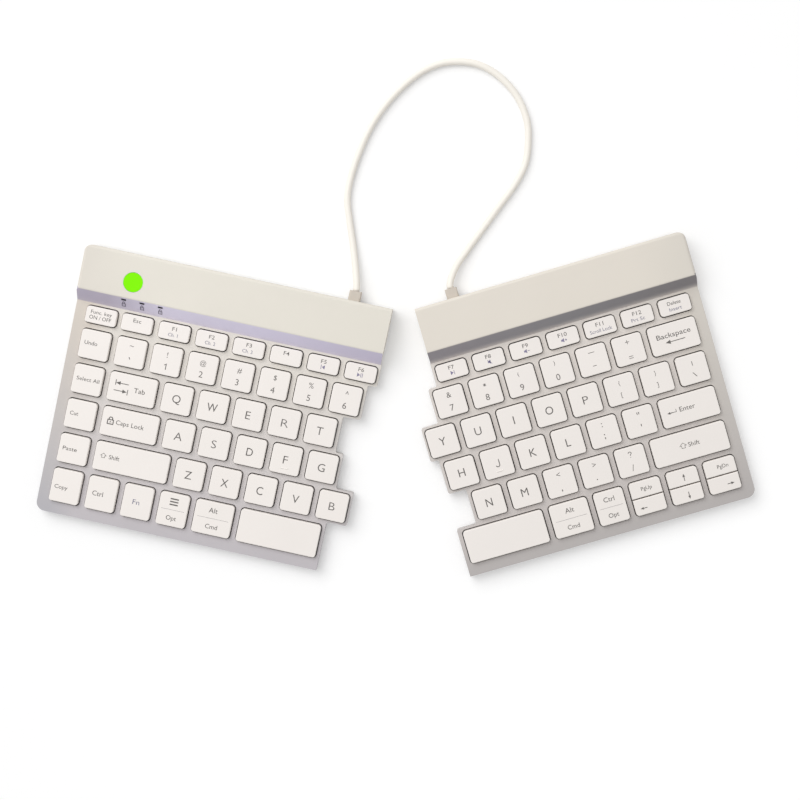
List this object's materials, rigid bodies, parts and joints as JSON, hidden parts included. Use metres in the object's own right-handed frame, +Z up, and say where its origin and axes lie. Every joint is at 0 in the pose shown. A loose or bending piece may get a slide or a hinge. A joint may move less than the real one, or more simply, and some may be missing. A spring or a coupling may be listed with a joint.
{
  "type": "ergonomic split keyboard",
  "caption": "Flat ergonomic keyboard split into two angled halves with stepped inner edges, a raised rear housing on each and a short cable that links them.",
  "frame": {"origin": "middle of the two halves' outline on the desk, under the feet", "axes": "+X to the typist's right, +Y away from the typist, +Z up from the desk"},
  "size_m": [0.3722, 0.2669, 0.014],
  "materials": {
    "housing": "fine satin moulding",
    "deck": "fine satin moulding",
    "base": "fine matt moulding",
    "cap": "smooth satin moulding",
    "cable": "smooth soft sheath",
    "grip": "matt moulding",
    "steel": "plain stamped",
    "circuit": "printed film",
    "dome": "translucent silicone",
    "scissor": "smooth moulding",
    "foot": "matt rubber",
    "battery": "foil pouch",
    "board": "solder mask",
    "lamp": "clear light guide",
    "switch": "fine matt moulding"
  },
  "bodies": {
    "left_half": {"left_base_cover": "base", "left_deck": "deck", "left_rear_cover": "housing", "left_support_plate": "steel", "left_circuit_sheet": "circuit", "left_domes": "dome", "left_scissors": "scissor", "left_feet": "foot", "left_screws": "steel", "left_cable_grip": "grip", "battery": "battery", "controller_board": "board", "indicator_lamps": "lamp", "charging_socket": "steel", "link_cable": "cable"},
    "right_half": {"right_base_cover": "base", "right_deck": "deck", "right_rear_cover": "housing", "right_support_plate": "steel", "right_circuit_sheet": "circuit", "right_domes": "dome", "right_scissors": "scissor", "right_feet": "foot", "right_screws": "steel", "right_cable_grip": "grip"},
    "power_switch": {"power_switch": "switch"},
    "left_function_keys": {"left_function_keys": "cap"},
    "left_number_keys": {"left_number_keys": "cap"},
    "left_control_keys": {"left_control_keys": "cap"},
    "left_space": {"left_space": "cap"},
    "right_function_keys": {"right_function_keys": "cap"},
    "right_number_and_sign_keys": {"right_number_and_sign_keys": "cap"},
    "right_control_keys": {"right_control_keys": "cap"},
    "right_space": {"right_space": "cap"},
    "key_q": {"key_q": "cap"},
    "key_w": {"key_w": "cap"},
    "key_e": {"key_e": "cap"},
    "key_r": {"key_r": "cap"},
    "key_t": {"key_t": "cap"},
    "key_a": {"key_a": "cap"},
    "key_s": {"key_s": "cap"},
    "key_d": {"key_d": "cap"},
    "key_f": {"key_f": "cap"},
    "key_g": {"key_g": "cap"},
    "key_z": {"key_z": "cap"},
    "key_x": {"key_x": "cap"},
    "key_c": {"key_c": "cap"},
    "key_v": {"key_v": "cap"},
    "key_b": {"key_b": "cap"},
    "key_y": {"key_y": "cap"},
    "key_u": {"key_u": "cap"},
    "key_i": {"key_i": "cap"},
    "key_o": {"key_o": "cap"},
    "key_p": {"key_p": "cap"},
    "key_h": {"key_h": "cap"},
    "key_j": {"key_j": "cap"},
    "key_k": {"key_k": "cap"},
    "key_l": {"key_l": "cap"},
    "key_n": {"key_n": "cap"},
    "key_m": {"key_m": "cap"}
  },
  "joints": [
    {"name": "splay", "type": "hinge", "parent": "left_half", "child": "right_half", "pos_m": [0.00576, 0.04991, 0], "axis": [0, 0, 1], "range_deg": [-28, 20], "deforming": ["link_cable"]},
    {"name": "power_slide", "type": "slide", "parent": "left_half", "child": "power_switch", "axis": [0.9774, -0.2113, 0], "range_m": [0, 0.002]},
    {"name": "left_function_keys_press", "type": "slide", "parent": "left_half", "child": "left_function_keys", "axis": [0, 0, -1], "range_m": [0, 0.0018], "stiffness_N_per_m": 1760, "springref_m": -0.001, "deforming": ["left_domes", "left_scissors"]},
    {"name": "left_number_keys_press", "type": "slide", "parent": "left_half", "child": "left_number_keys", "axis": [0, 0, -1], "range_m": [0, 0.0018], "stiffness_N_per_m": 1540, "springref_m": -0.001, "deforming": ["left_domes", "left_scissors"]},
    {"name": "left_control_keys_press", "type": "slide", "parent": "left_half", "child": "left_control_keys", "axis": [0, 0, -1], "range_m": [0, 0.0018], "stiffness_N_per_m": 2640, "springref_m": -0.001, "deforming": ["left_domes", "left_scissors"]},
    {"name": "left_space_press", "type": "slide", "parent": "left_half", "child": "left_space", "axis": [0, 0, -1], "range_m": [0, 0.0018], "stiffness_N_per_m": 220, "springref_m": -0.001, "deforming": ["left_domes", "left_scissors"]},
    {"name": "right_function_keys_press", "type": "slide", "parent": "right_half", "child": "right_function_keys", "axis": [0, 0, -1], "range_m": [0, 0.0018], "stiffness_N_per_m": 1540, "springref_m": -0.001, "deforming": ["right_domes", "right_scissors"]},
    {"name": "right_number_and_sign_keys_press", "type": "slide", "parent": "right_half", "child": "right_number_and_sign_keys", "axis": [0, 0, -1], "range_m": [0, 0.0018], "stiffness_N_per_m": 3080, "springref_m": -0.001, "deforming": ["right_domes", "right_scissors"]},
    {"name": "right_control_keys_press", "type": "slide", "parent": "right_half", "child": "right_control_keys", "axis": [0, 0, -1], "range_m": [0, 0.0018], "stiffness_N_per_m": 2420, "springref_m": -0.001, "deforming": ["right_domes", "right_scissors"]},
    {"name": "right_space_press", "type": "slide", "parent": "right_half", "child": "right_space", "axis": [0, 0, -1], "range_m": [0, 0.0018], "stiffness_N_per_m": 220, "springref_m": -0.001, "deforming": ["right_domes", "right_scissors"]},
    {"name": "key_q_press", "type": "slide", "parent": "left_half", "child": "key_q", "axis": [0, 0, -1], "range_m": [0, 0.0018], "stiffness_N_per_m": 220, "springref_m": -0.001, "deforming": ["left_domes", "left_scissors"]},
    {"name": "key_w_press", "type": "slide", "parent": "left_half", "child": "key_w", "axis": [0, 0, -1], "range_m": [0, 0.0018], "stiffness_N_per_m": 220, "springref_m": -0.001, "deforming": ["left_domes", "left_scissors"]},
    {"name": "key_e_press", "type": "slide", "parent": "left_half", "child": "key_e", "axis": [0, 0, -1], "range_m": [0, 0.0018], "stiffness_N_per_m": 220, "springref_m": -0.001, "deforming": ["left_domes", "left_scissors"]},
    {"name": "key_r_press", "type": "slide", "parent": "left_half", "child": "key_r", "axis": [0, 0, -1], "range_m": [0, 0.0018], "stiffness_N_per_m": 220, "springref_m": -0.001, "deforming": ["left_domes", "left_scissors"]},
    {"name": "key_t_press", "type": "slide", "parent": "left_half", "child": "key_t", "axis": [0, 0, -1], "range_m": [0, 0.0018], "stiffness_N_per_m": 220, "springref_m": -0.001, "deforming": ["left_domes", "left_scissors"]},
    {"name": "key_a_press", "type": "slide", "parent": "left_half", "child": "key_a", "axis": [0, 0, -1], "range_m": [0, 0.0018], "stiffness_N_per_m": 220, "springref_m": -0.001, "deforming": ["left_domes", "left_scissors"]},
    {"name": "key_s_press", "type": "slide", "parent": "left_half", "child": "key_s", "axis": [0, 0, -1], "range_m": [0, 0.0018], "stiffness_N_per_m": 220, "springref_m": -0.001, "deforming": ["left_domes", "left_scissors"]},
    {"name": "key_d_press", "type": "slide", "parent": "left_half", "child": "key_d", "axis": [0, 0, -1], "range_m": [0, 0.0018], "stiffness_N_per_m": 220, "springref_m": -0.001, "deforming": ["left_domes", "left_scissors"]},
    {"name": "key_f_press", "type": "slide", "parent": "left_half", "child": "key_f", "axis": [0, 0, -1], "range_m": [0, 0.0018], "stiffness_N_per_m": 220, "springref_m": -0.001, "deforming": ["left_domes", "left_scissors"]},
    {"name": "key_g_press", "type": "slide", "parent": "left_half", "child": "key_g", "axis": [0, 0, -1], "range_m": [0, 0.0018], "stiffness_N_per_m": 220, "springref_m": -0.001, "deforming": ["left_domes", "left_scissors"]},
    {"name": "key_z_press", "type": "slide", "parent": "left_half", "child": "key_z", "axis": [0, 0, -1], "range_m": [0, 0.0018], "stiffness_N_per_m": 220, "springref_m": -0.001, "deforming": ["left_domes", "left_scissors"]},
    {"name": "key_x_press", "type": "slide", "parent": "left_half", "child": "key_x", "axis": [0, 0, -1], "range_m": [0, 0.0018], "stiffness_N_per_m": 220, "springref_m": -0.001, "deforming": ["left_domes", "left_scissors"]},
    {"name": "key_c_press", "type": "slide", "parent": "left_half", "child": "key_c", "axis": [0, 0, -1], "range_m": [0, 0.0018], "stiffness_N_per_m": 220, "springref_m": -0.001, "deforming": ["left_domes", "left_scissors"]},
    {"name": "key_v_press", "type": "slide", "parent": "left_half", "child": "key_v", "axis": [0, 0, -1], "range_m": [0, 0.0018], "stiffness_N_per_m": 220, "springref_m": -0.001, "deforming": ["left_domes", "left_scissors"]},
    {"name": "key_b_press", "type": "slide", "parent": "left_half", "child": "key_b", "axis": [0, 0, -1], "range_m": [0, 0.0018], "stiffness_N_per_m": 220, "springref_m": -0.001, "deforming": ["left_domes", "left_scissors"]},
    {"name": "key_y_press", "type": "slide", "parent": "right_half", "child": "key_y", "axis": [0, 0, -1], "range_m": [0, 0.0018], "stiffness_N_per_m": 220, "springref_m": -0.001, "deforming": ["right_domes", "right_scissors"]},
    {"name": "key_u_press", "type": "slide", "parent": "right_half", "child": "key_u", "axis": [0, 0, -1], "range_m": [0, 0.0018], "stiffness_N_per_m": 220, "springref_m": -0.001, "deforming": ["right_domes", "right_scissors"]},
    {"name": "key_i_press", "type": "slide", "parent": "right_half", "child": "key_i", "axis": [0, 0, -1], "range_m": [0, 0.0018], "stiffness_N_per_m": 220, "springref_m": -0.001, "deforming": ["right_domes", "right_scissors"]},
    {"name": "key_o_press", "type": "slide", "parent": "right_half", "child": "key_o", "axis": [0, 0, -1], "range_m": [0, 0.0018], "stiffness_N_per_m": 220, "springref_m": -0.001, "deforming": ["right_domes", "right_scissors"]},
    {"name": "key_p_press", "type": "slide", "parent": "right_half", "child": "key_p", "axis": [0, 0, -1], "range_m": [0, 0.0018], "stiffness_N_per_m": 220, "springref_m": -0.001, "deforming": ["right_domes", "right_scissors"]},
    {"name": "key_h_press", "type": "slide", "parent": "right_half", "child": "key_h", "axis": [0, 0, -1], "range_m": [0, 0.0018], "stiffness_N_per_m": 220, "springref_m": -0.001, "deforming": ["right_domes", "right_scissors"]},
    {"name": "key_j_press", "type": "slide", "parent": "right_half", "child": "key_j", "axis": [0, 0, -1], "range_m": [0, 0.0018], "stiffness_N_per_m": 220, "springref_m": -0.001, "deforming": ["right_domes", "right_scissors"]},
    {"name": "key_k_press", "type": "slide", "parent": "right_half", "child": "key_k", "axis": [0, 0, -1], "range_m": [0, 0.0018], "stiffness_N_per_m": 220, "springref_m": -0.001, "deforming": ["right_domes", "right_scissors"]},
    {"name": "key_l_press", "type": "slide", "parent": "right_half", "child": "key_l", "axis": [0, 0, -1], "range_m": [0, 0.0018], "stiffness_N_per_m": 220, "springref_m": -0.001, "deforming": ["right_domes", "right_scissors"]},
    {"name": "key_n_press", "type": "slide", "parent": "right_half", "child": "key_n", "axis": [0, 0, -1], "range_m": [0, 0.0018], "stiffness_N_per_m": 220, "springref_m": -0.001, "deforming": ["right_domes", "right_scissors"]},
    {"name": "key_m_press", "type": "slide", "parent": "right_half", "child": "key_m", "axis": [0, 0, -1], "range_m": [0, 0.0018], "stiffness_N_per_m": 220, "springref_m": -0.001, "deforming": ["right_domes", "right_scissors"]}
  ]
}
